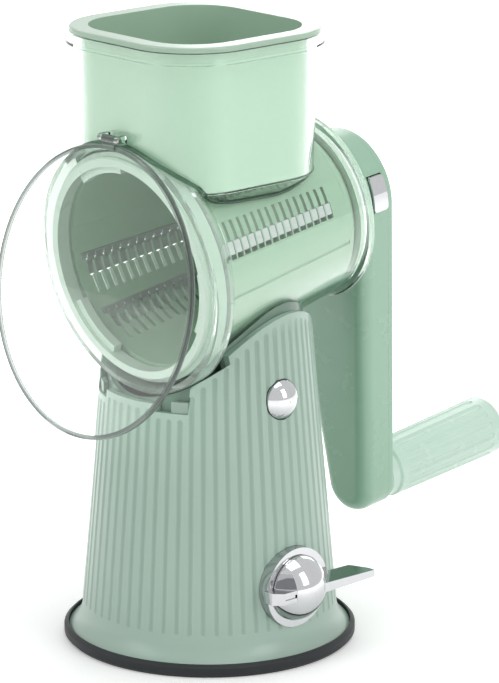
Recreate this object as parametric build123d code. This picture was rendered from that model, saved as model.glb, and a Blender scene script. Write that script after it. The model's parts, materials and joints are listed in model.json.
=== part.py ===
from build123d import *
import os
from math import asin, cos, pi, radians, sin, sqrt, tan

# Hand-cranked rotary shredder: a fluted column on a suction foot carries a clear housing,
# a slotted drum turned by a crank at the rear, a pusher in the hopper and a clear splash
# guard over the mouth. Millimetres, +Z up, mouth towards -Y, origin under the foot.

os.makedirs("parts", exist_ok=True)

# ---------------------------------------------------------------- driving dimensions
# Foot and column
FOOT_R = 65.0
FOOT_HEIGHT = 5.8
FOOT_LIP = 2.1
FOOT_EDGE = 1.4
DIAPHRAGM = 1.5
COLUMN_FOOT_R = 58.0
COLUMN_TAPER = 0.089
COLUMN_WALL = 3.0
COLUMN_PEAK_Z = 153.2
COLUMN_PEAK_Y = 8.0
COLUMN_ARCH = 0.0142
FLARE_TOP = 14.5
FLARE_EDGE = 2.6
FLARE_BOW = (0.3, 0.42)
FLUTES = 60
FLUTE_R = 2.2
FLUTE_DEPTH = 0.55
FLUTE_FOOT = 15.0
FLUTE_MARGIN = 1.5
CREST_Z = 117.0
NOTCH_Z = 113.5
NOTCH_IN = 15.6
NOTCH_OUT = 28.9

# Drum axis, drum and clear housing
AXIS_Z = 179.5
AXIS_TILT = 7.0
MOUTH_S = -46.5
BARREL_R = 46.7
BARREL_CONE = 0.109
BARREL_WALL = 2.2
BARREL_END = 60.3
BEAD_R = 43.0
BEAD_WIDTH = 3.6
RIM_R = 56.4
RIM_WALL = 3.0
RIM_DEPTH = 9.0
RIM_FAIRING = 9.0
FAIRING_CURVE = ((0.35, 0.25), (0.92, 0.7))
RIM_EDGE = 0.6
DRUM_R = 43.5
DRUM_CONE = 0.104
DRUM_WALL = 2.4
DRUM_SHOULDER = 50.0
DRUM_REAR = 53.8
DRUM_REAR_WALL = 2.5
DRUM_STEP_R = 34.8
DRUM_SPIGOT = 4.0
RING_R = 51.6
RING_BORE = 45.8
RING_DEPTH = 8.5
RING_LIP_R = 50.0
RING_LIP = 2.2
RING_EDGE = 0.8
RING_LUG = 3.2
RING_LUG_SINK = 2.0
LUG_ANGLES = (90, 210, 330)
LUG_SPAN = 37
SKIRT_WALL = 2.4
SKIRT_FOOT = 108.0
SKIRT_TOP = 162.0
KEY_IN = 21.8
KEY_OUT = 28.3
KEY_TALL = 5.0
COVER_S = 54.5
COVER_WALL = 3.0
COVER_RIM = 2.4

# Blade rows on the drum
ROW_ANGLES = (19.3, 52.8, 199.3, 232.8)
SLOTS = 16
SLOT_PITCH = 4.5
SLOT_WIDTH = 1.75
SLOT_ANGLES = (-1.0, 10.2)
WINDOW_WIDTH = 3.7
WINDOW_ANGLES = (-10.3, -0.3)
ROW_MIDDLE = 2.5
BLADE_SHEET = 0.8
BLADE_SUNK = 0.1
TOOTH_WIDTH = 3.2
TOOTH_ANGLES = (-12.3, -9.9, -7.6, -0.7)
STRIP_ANGLES = (-13.8, -10.3)
STRIP_MARGIN = 4.0
PANEL_ANGLES = (-11.3, 168.7)
PANEL_GROOVE = 0.8
PANEL_MARGIN = 2.0

# Hopper and pusher
HOPPER_Y = -7.5
HOPPER_HALF = 45.35
HOPPER_CORNER = 28.0
HOPPER_WALL = 2.5
HOPPER_DRAFT = 1.0
HOPPER_TUCK = 14.0
HOPPER_TOP = 273.4
HOPPER_RIM_HALF = 48.7
HOPPER_RIM = 5.2
PUSHER_HALF = 41.6
PUSHER_CORNER = 25.0
PUSHER_WALL = 2.5
PUSHER_FOOT_Z = 212.5
PUSHER_RIM_HALF = 47.3
PUSHER_RIM = 2.4
PUSHER_OVER_DRUM = 2.6
PUSHER_OVER_RING = 1.2
PUSHER_RIM_ROUND = 0.9

# Splash guard
GUARD_R = 63.2
GUARD_SHEET = 2.0
GUARD_BEAD = 2.6
GUARD_BEAD_WIDTH = 1.9
GUARD_EDGE = 0.6
GUARD_LEAN = 10.0
GUARD_Y = -66.2
GUARD_Z = 167.6
GUARD_PIN_R = 0.9
GUARD_PIN_UP = 2.6
GUARD_PIN_OUT = 1.2
KNUCKLE_R = 1.8
KNUCKLE_HALF = 4.0
EAR_WIDTH = 2.2

# Crank
SHAFT_R = 6.0
BUSH_R = 9.0
BUSH_FLANGE_R = 12.5
BUSH_FLANGE = 1.6
ARM_FRONT = 67.0
ARM_SEAM = 82.5
ARM_REAR = 86.0
ARM_HUB_R = 28.0
ARM_END_R = 13.2
ARM_THROW = 139.0
ARM_ROUND = 6.0
ARM_WALL = 2.5
ARM_BOSS_R = 20.0
HUB_R = 10.0
HUB_LENGTH = 15.0
CRANK_BUTTON_S = 73.2
CRANK_BUTTON_WIDTH = 8.4
CRANK_BUTTON_TALL = 16.0
CRANK_BUTTON_UP = 4.0
CRANK_BUTTON_PROUD = 1.3
CRANK_BUTTON_DEEP = 8.0
CRANK_BUTTON_ROUND = 1.6
CRANK_BUTTON_TRAVEL = 2.5
CATCH_SHEET = 2.4
ARM_SCREW_INSET = 8.0
ARM_SCREW_END = 25.0
ARM_SCREW_WALL = 1.8
ARM_COVER_ROUND = 1.5

# Grip
GRIP_LENGTH = 70.0
GRIP_R_NEAR = 13.2
GRIP_R_FAR = 14.0
GRIP_COLLAR = 5.0
GRIP_COLLAR_R = 12.2
GRIP_CAP = 4.0
GRIP_FLUTES = 16
GRIP_FLUTE_R = 2.2
GRIP_FLUTE_DEPTH = 0.8
GRIP_MARGIN = 6.0
GRIP_POCKET = 5.0
AXLE_R = 4.0
AXLE_INSET = 4.0
AXLE_WALL = 3.0
AXLE_HEAD_REACH = 2.0
AXLE_HEAD = 1.6

# Shaft's nose, seat and tail
HEX = 9.0
SQUARE = 8.0
NOSE_INSET = 3.0
SEAT_INSET = 4.0
CATCH_GROOVE = 1.2
CATCH_MARGIN = 2.0
TAIL_GAP = 2.2
HUB_FLANGE = 5.0
HUB_FLANGE_THICK = 2.0

# Suction lever
LEVER_Z = 34.0
LEVER_SHAFT_R = 5.0
LEVER_FACE_X = 57.3
BEZEL_R = 17.8
BEZEL_THICK = 6.0
BEZEL_EDGE = 0.3
DOME_R = 14.6
DOME_HIGH = 10.9
DOME_EDGE = 0.8
DOME_CUT_Y = -8.3
DOME_CUT_Z = (2.9, 9.0)
PADDLE_X = 57.3
PADDLE_FACE_X = 66.0
PADDLE_BACK_X = 53.4
PADDLE_LONG_END = 38.4
PADDLE_SHORT_END = -19.8
PADDLE_WIDEN = (19.0, 22.0)
PADDLE_CORNER = 3.7
PADDLE_HALF = (2.7, 1.5)
RECESS_Y = -9.8
RECESS = (1.2, 11.0, 1.6)
CAM_R = 11.0
CAM_HALF = 4.0
CAM_OFFSET = 2.0
YOKE_BAR = 3.0
YOKE_HALF = 15.0
STEM_R = 4.0
SUCTION_PLATE_R = 15.0
SUCTION_PLATE = 2.0
CLIP_THICK = 1.2
CLIP_REACH = 2.2
CLIP_SPLIT = 1.6
GROOVE_DEPTH = 1.0
BRACKET_GAP = 9.0
BRACKET_POST = 7.0
BRACKET_HALF = 9.0
BRACKET_FLOOR = 3.0

# Base plate and screws
PLATE_Z = 8.0
PLATE = 3.0
BOSS_RADIUS = 49.6
BOSS_R = 4.6
BOSS_TOP = 30.0
SCREW_R = 1.5
SCREW_HEAD_R = 3.0
SCREW_HEAD = 1.8
SCREW_LENGTH = 12.0
BRACKET_SCREW_X = 20.0

# Release button
BUTTON_Z = 117.0
BUTTON_R = 8.7
BUTTON_PROUD = 5.0
BUTTON_TRAVEL = 3.5
PIN_R = 5.0
NECK_R = 3.0
SPRING_WIRE = 0.9
SPRING_R = 4.4
SPRING_TURNS = 5
PIN_SHOULDER = 5.5
PIN_TAIL = 22.0
PIN_BEHIND = 1.0
GUIDE_BACK = 24.0
GUIDE_PLATE = 3.0
GUIDE_HALF = 9.0
GUIDE_FLOOR = (-16.0, -12.0)

# Catch on the shaft
CATCH_REACH = 5.0
CATCH_SIDE = 3.0
CATCH_SPRING_R = 2.4
CATCH_WIRE = 0.7
CATCH_TURNS = 5

# Clearances
FIT = 0.05
GAP = 0.3
SLIP = 0.1
FLUTE_FIT = 0.5


# ---------------------------------------------------------------- helpers
def rod(radius, low, high):
    return Pos(0, 0, (low + high) / 2) * Cylinder(radius, high - low)


def tube(outer, bore, low, high):
    return rod(outer, low, high) - rod(bore, low - 1, high + 1)


def block(x, y, z):
    """A box from its low and high values along each axis."""
    centre = Pos((x[0] + x[1]) / 2, (y[0] + y[1]) / 2, (z[0] + z[1]) / 2)
    return centre * Box(x[1] - x[0], y[1] - y[0], z[1] - z[0])


def turned(*points):
    """A solid of revolution about Z from (radius, height) points."""
    outline = Polyline(*[(r, 0, z) for r, z in points], close=True)
    return revolve(make_face(outline), Axis.Z)


def along_x(shape):
    """Turn a shape made along Z so that it lies along +X."""
    return Rot(0, 90, 0) * shape


def capsule(radius, length):
    """A rod along Z with ball ends whose centres are at 0 and length."""
    outline = [
        Line((0, 0, -radius), (0, 0, length + radius)),
        ThreePointArc((0, 0, length + radius), (radius * sin(pi / 4), 0, length + radius * cos(pi / 4)),
                      (radius, 0, length)),
        Line((radius, 0, length), (radius, 0, 0)),
        ThreePointArc((radius, 0, 0), (radius * sin(pi / 4), 0, -radius * cos(pi / 4)), (0, 0, -radius)),
    ]
    return revolve(make_face(outline), Axis.Z)


def domed(radius, low, face, high):
    """A button along Z: straight from low to face, then domed up to high."""
    ball_r = (radius ** 2 + (high - face) ** 2) / (2 * (high - face))
    half = asin(radius / ball_r) / 2
    halfway = (ball_r * sin(half), 0, high - ball_r + ball_r * cos(half))
    outline = [
        Line((0, 0, low), (radius, 0, low)),
        Line((radius, 0, low), (radius, 0, face)),
        ThreePointArc((radius, 0, face), halfway, (0, 0, high)),
        Line((0, 0, high), (0, 0, low)),
    ]
    return revolve(make_face(outline), Axis.Z)


def between(start, end, shape_of_length):
    """Stand a shape made along Z on start, pointing at end."""
    run = Vector(*end) - Vector(*start)
    return Plane(origin=start, z_dir=run) * shape_of_length(run.length)


def rounded_prism(half_low, half_high, corner, low, high):
    """A rounded square prism that may widen upwards, centred on the hopper."""
    if half_low == half_high:
        plan = RectangleRounded(2 * half_low, 2 * half_low, corner)
        return Pos(0, HOPPER_Y, low) * extrude(plan, high - low)
    bottom = Pos(0, HOPPER_Y, low) * RectangleRounded(2 * half_low, 2 * half_low, corner)
    top = Pos(0, HOPPER_Y, high) * RectangleRounded(2 * half_high, 2 * half_high, corner)
    return loft([bottom, top], ruled=True)


def save(shape, name):
    solids = shape if isinstance(shape, list) else shape.solids()
    body = solids[0] if len(solids) == 1 else Compound(children=solids)
    body.label = name
    export_step(body, f"parts/{name}.step")


# ---------------------------------------------------------------- worked-out sizes
AXIS = Pos(0, 0, AXIS_Z) * Rot(AXIS_TILT - 90, 0, 0)
GUARD = Pos(0, GUARD_Y, GUARD_Z) * Rot(90 - GUARD_LEAN, 0, 0)
LEVER = Pos(0, 0, LEVER_Z)
BUTTON = Pos(0, 0, BUTTON_Z)
ARM_END = Pos(0, ARM_THROW, 0)

COLUMN_BOTTOM = DIAPHRAGM + SLIP
PLATE_TOP = PLATE_Z + PLATE
COVER_BACK = COVER_S + COVER_WALL
BUSH_FACE = COVER_BACK + BUSH_FLANGE
ARM_SEAT = BUSH_FACE + 0.5
SHAFT_TAIL = ARM_SEAM - TAIL_GAP
CATCH_S = CRANK_BUTTON_S + (CRANK_BUTTON_WIDTH - CATCH_SHEET) / 2
GRIP_START = ARM_REAR + GAP
GRIP_SLEEVE_START = GRIP_START + GRIP_COLLAR
GRIP_SLEEVE_END = GRIP_START + GRIP_LENGTH
BUTTON_FACE = COLUMN_FOOT_R - COLUMN_TAPER * BUTTON_Z
BUTTON_FOOT = BUTTON_FACE - COLUMN_WALL + BUTTON_TRAVEL / 2
DRUM_FRONT = MOUTH_S + RING_DEPTH
DRUM_END_FACE = DRUM_SHOULDER - DRUM_REAR_WALL
WAIST_Z = PUSHER_FOOT_Z - GAP
AXLE_END = GRIP_SLEEVE_END - AXLE_INSET


def column_r(z):
    return COLUMN_FOOT_R - COLUMN_TAPER * z


def arch_z(y):
    return COLUMN_PEAK_Z - COLUMN_ARCH * (y - COLUMN_PEAK_Y) ** 2


def barrel_r(s):
    return BARREL_R - BARREL_CONE * s


def drum_r(s):
    return DRUM_R - DRUM_CONE * s


def cone(radius_at, extra, low, high):
    """A cone about the drum axis, in the axis frame, with its radius grown by extra."""
    return turned((0, low), (radius_at(low) + extra, low), (radius_at(high) + extra, high), (0, high))


def hopper_half(z):
    return HOPPER_HALF - (HOPPER_TOP - z) * tan(radians(HOPPER_DRAFT))


# ---------------------------------------------------------------- foot and column
def rubber_foot():
    """Rubber bead round the base with the suction diaphragm across it."""
    return turned(
        (0, 0), (FOOT_R - FOOT_EDGE, 0), (FOOT_R, FOOT_EDGE), (FOOT_R, FOOT_HEIGHT - FOOT_EDGE),
        (FOOT_R - FOOT_EDGE, FOOT_HEIGHT), (FOOT_R - FOOT_LIP, FOOT_HEIGHT), (FOOT_R - FOOT_LIP, DIAPHRAGM),
        (0, DIAPHRAGM),
    )


def column_top(x, y):
    """Height of the column's top edge: arched, with two notches and a crest under the mouth."""
    if y > 0 or abs(x) > NOTCH_OUT:
        return arch_z(y)
    return NOTCH_Z if abs(x) > NOTCH_IN else CREST_Z


def column_top_cut():
    """Everything above the top edge of the column."""
    reach = 1.3 * COLUMN_FOOT_R
    ends = [(-reach, y, arch_z(y)) for y in (-reach, reach)]
    steep = 2 * COLUMN_ARCH * (reach + COLUMN_PEAK_Y)
    middle = (-reach, 0, arch_z(-reach) + steep * reach)
    ceiling = AXIS_Z + BARREL_R
    outline = [
        Bezier(ends[0], middle, ends[1]),
        Line(ends[1], (-reach, reach, ceiling)),
        Line((-reach, reach, ceiling), (-reach, -reach, ceiling)),
        Line((-reach, -reach, ceiling), ends[0]),
    ]
    above = extrude(make_face(outline), 2 * reach, dir=(1, 0, 0))
    front = (-reach, -NOTCH_IN)
    above -= block((-NOTCH_OUT, NOTCH_OUT), front, (0, ceiling))
    above += block((-NOTCH_OUT, NOTCH_OUT), front, (CREST_Z, ceiling))
    for side in (-1, 1):
        x = sorted((side * NOTCH_IN, side * NOTCH_OUT))
        above += block(x, front, (NOTCH_Z, ceiling))
    return above


def column_flutes():
    """Round-ended grooves that run up the tapered face and stop below its top edge."""
    grooves = []
    out = FLUTE_R - FLUTE_DEPTH
    for number in range(FLUTES):
        angle = radians((number + 0.5) * 360 / FLUTES)
        edge_r = column_r(NOTCH_Z)
        top = column_top(edge_r * cos(angle), edge_r * sin(angle)) - FLUTE_MARGIN - FLUTE_R
        low_r, high_r = column_r(FLUTE_FOOT) + out, column_r(top) + out
        grooves.append(between(
            (low_r * cos(angle), low_r * sin(angle), FLUTE_FOOT + FLUTE_R),
            (high_r * cos(angle), high_r * sin(angle), top),
            lambda length: capsule(FLUTE_R, length)))
    return grooves


def column():
    """Tapered fluted shell with a flared foot and a saddle for the barrel."""
    flange = FOOT_R - FOOT_LIP - GAP
    flare_foot = COLUMN_BOTTOM + FLARE_EDGE
    high = AXIS_Z
    flare_r = column_r(FLARE_TOP)
    middle = (flare_r + FLARE_BOW[0] * (flange - flare_r),
              flare_foot + FLARE_BOW[1] * (FLARE_TOP - flare_foot))
    edges = [
        Line((0, 0, COLUMN_BOTTOM), (flange, 0, COLUMN_BOTTOM)),
        Line((flange, 0, COLUMN_BOTTOM), (flange, 0, flare_foot)),
        ThreePointArc((flange, 0, flare_foot), (middle[0], 0, middle[1]), (flare_r, 0, FLARE_TOP)),
        Line((flare_r, 0, FLARE_TOP), (column_r(high), 0, high)),
        Line((column_r(high), 0, high), (0, 0, high)),
        Line((0, 0, high), (0, 0, COLUMN_BOTTOM)),
    ]
    shell = revolve(make_face(edges), Axis.Z)
    shell -= column_flutes()
    inner_foot = flange - COLUMN_WALL
    shell -= turned(
        (0, COLUMN_BOTTOM - 1), (inner_foot, COLUMN_BOTTOM - 1), (inner_foot, flare_foot),
        (flare_r - COLUMN_WALL, FLARE_TOP), (column_r(high) - COLUMN_WALL, high + 1), (0, high + 1),
    )
    post = rod(BOSS_R, PLATE_TOP, BOSS_TOP) - rod(SCREW_R + FIT, PLATE_TOP - 1, PLATE_TOP + SCREW_LENGTH)
    posts = [Rot(0, 0, 45 + 90 * k) * Pos(BOSS_RADIUS, 0, 0) * post for k in range(4)]
    in_wall = COLUMN_WALL / 3
    keep = turned(
        (0, COLUMN_BOTTOM), (flare_r, COLUMN_BOTTOM), (flare_r - in_wall, FLARE_TOP),
        (column_r(BOSS_TOP) - 2 * in_wall, BOSS_TOP), (0, BOSS_TOP),
    )
    shell += [p & keep for p in posts]
    shell -= column_top_cut()
    shell -= AXIS * cone(barrel_r, FLUTE_FIT, MOUTH_S, 2 * BARREL_END)
    shell -= AXIS * rod(RIM_R + FLUTE_FIT, MOUTH_S - SLIP, MOUTH_S + RIM_DEPTH + RIM_FAIRING)
    reach = (column_r(BUTTON_Z) - 3 * COLUMN_WALL, 1.2 * COLUMN_FOOT_R)
    shell -= LEVER * along_x(rod(BEZEL_R + SLIP, *reach))
    shell -= BUTTON * along_x(rod(BUTTON_R + GAP, *reach))
    return largest(shell)


def base_plate():
    plate = rod(column_r(FLARE_TOP) - COLUMN_WALL - GAP, PLATE_Z, PLATE_TOP)
    plate -= rod(STEM_R + GAP, PLATE_Z - 1, PLATE_TOP + 1)
    for place in screw_places():
        plate -= place * rod(SCREW_R + SLIP, -1, PLATE + 1)
    return plate


def screw_places():
    """Where the screws stand on the underside of the base plate."""
    rim = [Rot(0, 0, 45 + 90 * k) * Pos(BOSS_RADIUS, 0, PLATE_Z) for k in range(4)]
    middle = [Pos(side * BRACKET_SCREW_X, 0, PLATE_Z) for side in (-1, 1)]
    return rim + middle


def pan_screw(length):
    """A small screw standing up from its head, with a cross recess."""
    screw = rod(SCREW_HEAD_R, -SCREW_HEAD, 0) + rod(SCREW_R, -SCREW_HEAD, length)
    cross = Box(0.7, 1.3 * SCREW_HEAD_R, 1.2) + Box(1.3 * SCREW_HEAD_R, 0.7, 1.2)
    return screw - Pos(0, 0, -SCREW_HEAD) * cross


def base_screws():
    return [(place * pan_screw(SCREW_LENGTH)).solid() for place in screw_places()]


# ---------------------------------------------------------------- suction lever
def lever_bracket():
    """Floor with two posts that carry the lever shaft over the base plate."""
    low = PLATE_TOP
    ends = BRACKET_GAP + BRACKET_POST
    tall = LEVER_Z + LEVER_SHAFT_R + 4
    floor = block((-ends, ends), (-BRACKET_HALF, BRACKET_HALF), (low, low + BRACKET_FLOOR))
    bracket = floor
    for side in (-1, 1):
        near, far = sorted((side * BRACKET_GAP, side * ends))
        bracket += block((near, far), (-BRACKET_HALF, BRACKET_HALF), (low, tall))
        bracket += Pos(side * BRACKET_SCREW_X, 0, 0) * rod(BOSS_R, low, low + SCREW_LENGTH)
        bracket -= Pos(side * BRACKET_SCREW_X, 0, 0) * rod(SCREW_R + FIT, low - 1, low + SCREW_LENGTH)
    bracket -= rod(STEM_R + GAP, low - 1, low + BRACKET_FLOOR + 1)
    bracket -= LEVER * along_x(rod(LEVER_SHAFT_R + FIT, -2 * ends, 2 * ends))
    return bracket


def pull_rod():
    """Yoke round the cam, with a stem down to the plate on the diaphragm."""
    bottom = LEVER_Z - CAM_OFFSET - CAM_R - 2 * GAP
    top = LEVER_Z - CAM_OFFSET + CAM_R + GAP
    outer = block((-CAM_HALF, CAM_HALF), (-YOKE_HALF - YOKE_BAR, YOKE_HALF + YOKE_BAR),
                  (bottom - YOKE_BAR, top + YOKE_BAR))
    rod_body = outer - block((-2 * CAM_HALF, 2 * CAM_HALF), (-YOKE_HALF, YOKE_HALF), (bottom, top))
    plate_low = DIAPHRAGM + GAP
    rod_body += rod(STEM_R, plate_low, bottom - YOKE_BAR / 2)
    rod_body += rod(SUCTION_PLATE_R, plate_low, plate_low + SUCTION_PLATE)
    return rod_body


def lever_shaft():
    """Shaft with its eccentric cam, set so that a quarter turn lifts the pull rod."""
    inner = clip_start() - CLIP_THICK
    shaft = along_x(rod(LEVER_SHAFT_R, inner, LEVER_FACE_X + DOME_HIGH / 2))
    shaft += Pos(0, CAM_OFFSET, -CAM_OFFSET) * along_x(rod(CAM_R, -CAM_HALF, CAM_HALF))
    shaft -= along_x(tube(LEVER_SHAFT_R + 1, LEVER_SHAFT_R - GROOVE_DEPTH,
                          clip_start(), clip_start() + CLIP_THICK))
    return LEVER * shaft


def clip_start():
    """Inner end of the clip's groove, just past the bracket's far post."""
    return -(BRACKET_GAP + BRACKET_POST + GAP + CLIP_THICK)


def lever_clip():
    """Split ring in the groove at the inner end of the lever shaft."""
    low, high = clip_start() + SLIP, clip_start() + CLIP_THICK - SLIP
    ring = tube(LEVER_SHAFT_R + CLIP_REACH, LEVER_SHAFT_R - GROOVE_DEPTH + FIT, low, high)
    ring -= block((-2 * LEVER_SHAFT_R, 0), (-CLIP_SPLIT, CLIP_SPLIT), (low - 1, high + 1))
    return LEVER * along_x(ring)


def knob_bezel():
    """Chromed bushing set in the column wall, flat towards the dome."""
    ring = tube(BEZEL_R, LEVER_SHAFT_R + FIT, LEVER_FACE_X - BEZEL_THICK, LEVER_FACE_X)
    ring = chamfer(ring.edges().filter_by(GeomType.CIRCLE).sort_by(Axis.Z)[-1:], BEZEL_EDGE)
    return LEVER * along_x(ring)


def paddle_blank(extra):
    """The paddle's tapering bar, grown by extra for the slot that holds it."""
    short, long = PADDLE_SHORT_END - extra, PADDLE_LONG_END + extra
    thick, thin = PADDLE_HALF[0] + extra, PADDLE_HALF[1] + extra
    side = Polyline((0, short, -thick), (0, long, -thin), (0, long, thin), (0, short, thick), close=True)
    bar = extrude(make_face(side), 2 * PADDLE_FACE_X, dir=(1, 0, 0))
    return bar & plan_prism(extra, 2 * thick)


def plan_prism(extra, tall):
    """The paddle seen from above: set back at the dome, wider beyond it, with cut corners."""
    short, long = PADDLE_SHORT_END - extra, PADDLE_LONG_END + extra
    face, near, back = PADDLE_FACE_X + extra, PADDLE_X - extra, PADDLE_BACK_X - extra
    plan = Polyline(
        (near, short), (face - PADDLE_CORNER, short), (face, short + PADDLE_CORNER), (face, long),
        (face - PADDLE_CORNER, long), (back, long - PADDLE_CORNER), (back, PADDLE_WIDEN[1]),
        (near, PADDLE_WIDEN[0]), close=True)
    return Pos(0, 0, -tall / 2) * extrude(make_face(plan), tall, dir=(0, 0, 1))


def lever_dome():
    """Ball-fronted knob with a slot for the paddle and a cut that shows its short end."""
    base = LEVER_FACE_X + GAP
    dome = along_x(domed(DOME_R, base, base + DOME_EDGE, base + DOME_HIGH))
    dome -= paddle_blank(FIT)
    dome -= along_x(rod(LEVER_SHAFT_R + FIT, 0, LEVER_FACE_X + DOME_HIGH / 2 + FIT))
    dome -= block((base + DOME_EDGE, base + 2 * DOME_HIGH), (-2 * DOME_R, DOME_CUT_Y), DOME_CUT_Z)
    return LEVER * largest(dome)


def lever_paddle():
    """Thumb bar through the dome, tapering, with a shallow recess near its short end."""
    bar = paddle_blank(0)
    bar -= Pos(PADDLE_FACE_X, RECESS_Y, 0) * Box(*RECESS)
    bar -= along_x(rod(LEVER_SHAFT_R + FIT, 0, LEVER_FACE_X + DOME_HIGH / 2 + FIT))
    return LEVER * bar


# ---------------------------------------------------------------- release button and latch
def release_button():
    """Domed chrome cap in the column's side."""
    face = BUTTON_FACE + SLIP
    cap = along_x(domed(BUTTON_R, BUTTON_FOOT, face, face + BUTTON_PROUD))
    cap -= along_x(rod(NECK_R + FIT, 0, face))
    return BUTTON * cap


def latch_pin():
    """Stepped pin behind the cap: its thick part locks the skirt until it is pressed."""
    shoulder = pin_shoulder()
    pin = along_x(rod(PIN_R, shoulder, shoulder + PIN_SHOULDER))
    pin += along_x(rod(NECK_R, shoulder - PIN_TAIL, BUTTON_FACE + SLIP - FIT))
    return BUTTON * pin


def pin_shoulder():
    """Inner end of the pin's thick part, where its spring pushes."""
    return BUTTON_FACE - COLUMN_WALL + PIN_BEHIND - PIN_SHOULDER


def latch_guide():
    """Bracket on the column's inner wall that guides the pin and backs its spring."""
    wall = column_r(BUTTON_Z) - COLUMN_WALL
    back = wall - GUIDE_BACK
    sides = (-GUIDE_HALF, GUIDE_HALF)
    guide = block((back, back + GUIDE_PLATE), sides, (GUIDE_FLOOR[1], GUIDE_HALF))
    guide += block((back, wall + 1), sides, GUIDE_FLOOR)
    guide -= along_x(rod(NECK_R + FIT, back - GUIDE_PLATE, back + 2 * GUIDE_PLATE))
    room = turned((0, 0), (column_r(0) - COLUMN_WALL - SLIP, 0),
                  (column_r(AXIS_Z) - COLUMN_WALL - SLIP, AXIS_Z), (0, AXIS_Z))
    return (BUTTON * guide) & room


def coil(radius, wire, turns, length):
    """A coil spring along Z from 0 to length."""
    pitch = (length - wire) / turns
    path = Helix(pitch=pitch, height=length - wire, radius=radius)
    start = path @ 0
    profile = Plane(origin=start, z_dir=path % 0) * Circle(wire / 2)
    return Pos(0, 0, wire / 2) * sweep(profile, path=path, is_frenet=True)


def latch_spring():
    """Spring between the guide's plate and the pin's shoulder."""
    back = column_r(BUTTON_Z) - COLUMN_WALL - GUIDE_BACK + GUIDE_PLATE
    length = pin_shoulder() - back - 2 * FIT
    return BUTTON * Pos(back + FIT, 0, 0) * along_x(coil(SPRING_R, SPRING_WIRE, SPRING_TURNS, length))


# ---------------------------------------------------------------- clear housing
def housing():
    """Clear hopper, open-ended barrel, mouth rim and the small ears of the guard."""
    barrel = cone(barrel_r, 0, MOUTH_S, BARREL_END)
    mouth = MOUTH_S + RIM_DEPTH
    fairing = mouth + RIM_FAIRING
    drop = RIM_R - barrel_r(fairing)
    barrel += turned(
        (0, MOUTH_S), (RIM_R - RIM_EDGE, MOUTH_S), (RIM_R, MOUTH_S + RIM_EDGE), (RIM_R, mouth),
        *[(RIM_R - fall * drop, mouth + run * RIM_FAIRING) for fall, run in FAIRING_CURVE],
        (barrel_r(fairing) - RIM_EDGE / 2, fairing + RIM_EDGE), (0, fairing + RIM_EDGE),
    )
    bead_low = BARREL_END - BEAD_WIDTH
    barrel += turned(
        (0, bead_low - 1), (barrel_r(bead_low) - RIM_EDGE / 2, bead_low - 1), (BEAD_R - RIM_EDGE, bead_low),
        (BEAD_R, bead_low + 1), (BEAD_R, BARREL_END - 1), (BEAD_R - 1, BARREL_END), (0, BARREL_END),
    )
    waist = hopper_half(WAIST_Z)
    foot_z = WAIST_Z - HOPPER_TUCK
    hopper = rounded_prism(waist, HOPPER_HALF, HOPPER_CORNER, WAIST_Z, HOPPER_TOP)
    hopper += rounded_prism(waist - HOPPER_TUCK, waist, HOPPER_CORNER, foot_z, WAIST_Z)
    rim_corner = HOPPER_CORNER + HOPPER_RIM_HALF - HOPPER_HALF
    rim = rounded_prism(HOPPER_RIM_HALF, HOPPER_RIM_HALF, rim_corner, HOPPER_TOP - HOPPER_RIM, HOPPER_TOP)
    body = AXIS * barrel + hopper + rim
    for side in (-1, 1):
        body += guard_ear(side)
    inner = AXIS * cone(barrel_r, -BARREL_WALL, 2 * MOUTH_S, 2 * BARREL_END)
    inner += AXIS * rod(RIM_R - RIM_WALL, 2 * MOUTH_S, mouth)
    throat, corner = waist - HOPPER_WALL, HOPPER_CORNER - HOPPER_WALL
    inner += rounded_prism(throat, HOPPER_HALF - HOPPER_WALL + FIT / 2, corner, WAIST_Z, HOPPER_TOP + 1)
    inner += rounded_prism(throat - HOPPER_TUCK, throat, corner, foot_z, WAIST_Z)
    return largest(body - inner)


def housing_skirt():
    """Clear collar bonded under the barrel, which plugs into the column behind the latch pin."""
    inset = COLUMN_WALL + GAP
    foot_r, top_r = column_r(SKIRT_FOOT) - inset, column_r(SKIRT_TOP) - inset
    skirt = turned((foot_r - SKIRT_WALL, SKIRT_FOOT), (foot_r, SKIRT_FOOT), (top_r, SKIRT_TOP),
                   (top_r - SKIRT_WALL, SKIRT_TOP))
    skirt -= AXIS * cone(barrel_r, FIT, MOUTH_S, 2 * BARREL_END)
    skirt -= AXIS * rod(RIM_R + GAP, 2 * MOUTH_S, MOUTH_S + RIM_DEPTH + RIM_FAIRING)
    skirt -= BUTTON * along_x(rod(PIN_R + GAP, 0, COLUMN_FOOT_R))
    neck = NECK_R + 2 * GAP
    skirt -= BUTTON * block((0, COLUMN_FOOT_R), (-neck, neck), (-BUTTON_Z, 0))
    pressed = BUTTON_FOOT - BUTTON_TRAVEL - GAP
    skirt -= BUTTON * along_x(rod(BUTTON_R + GAP, pressed, COLUMN_FOOT_R))
    return largest(skirt)


def skirt_keys():
    """Two keys on the skirt that stand in the column's notches and stop it turning."""
    low, high = NOTCH_Z + SLIP, NOTCH_Z + KEY_TALL
    skin = column_r(NOTCH_Z)
    band = tube(skin - COLUMN_WALL / 3, skin - COLUMN_WALL - GAP + FIT, low, high)
    keys = [band & block(sorted((side * KEY_IN, side * KEY_OUT)), (-2 * skin, 0), (low, high))
            for side in (-1, 1)]
    return [key.solid() for key in keys]


def rear_cover():
    """Cup in the barrel's open rear end that carries the bearing bush."""
    inset = BARREL_WALL + GAP
    cup = cone(barrel_r, -inset, COVER_S, BARREL_END)
    cup -= cone(barrel_r, -inset - COVER_RIM, COVER_BACK, BARREL_END + 1)
    return AXIS * (cup - rod(BUSH_R + FIT, COVER_S - 1, BARREL_END + 1))


def largest(shape):
    return max(shape.solids(), key=lambda solid: solid.volume)


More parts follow.
